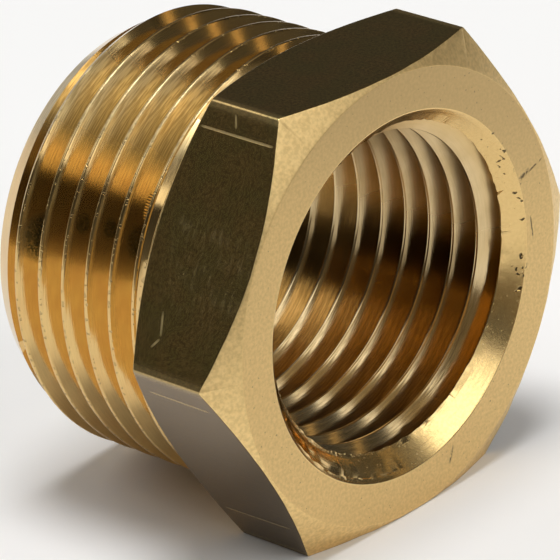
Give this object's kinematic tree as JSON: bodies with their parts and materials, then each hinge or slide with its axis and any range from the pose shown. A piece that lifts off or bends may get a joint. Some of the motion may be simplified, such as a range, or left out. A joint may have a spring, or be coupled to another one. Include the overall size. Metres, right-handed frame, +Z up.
{
  "type": "hex bushing",
  "caption": "Hexagon reducing bush in brass: an outside pipe thread on a spigot behind a hexagon, and a smaller countersunk inside thread right through.",
  "frame": {"origin": "on the surface the bush lies on, below the middle of its length", "axes": "+Y along the bush's axis from the hexagon's open face towards the spigot's end; +Z up, square to the flat it lies on; +X to the side, towards a point of the hexagon"},
  "size_m": [0.0312, 0.0204, 0.027],
  "materials": {
    "brass": "as machined, slightly dulled"
  },
  "bodies": {
    "root": {"hex_bushing": "brass"}
  },
  "joints": []
}
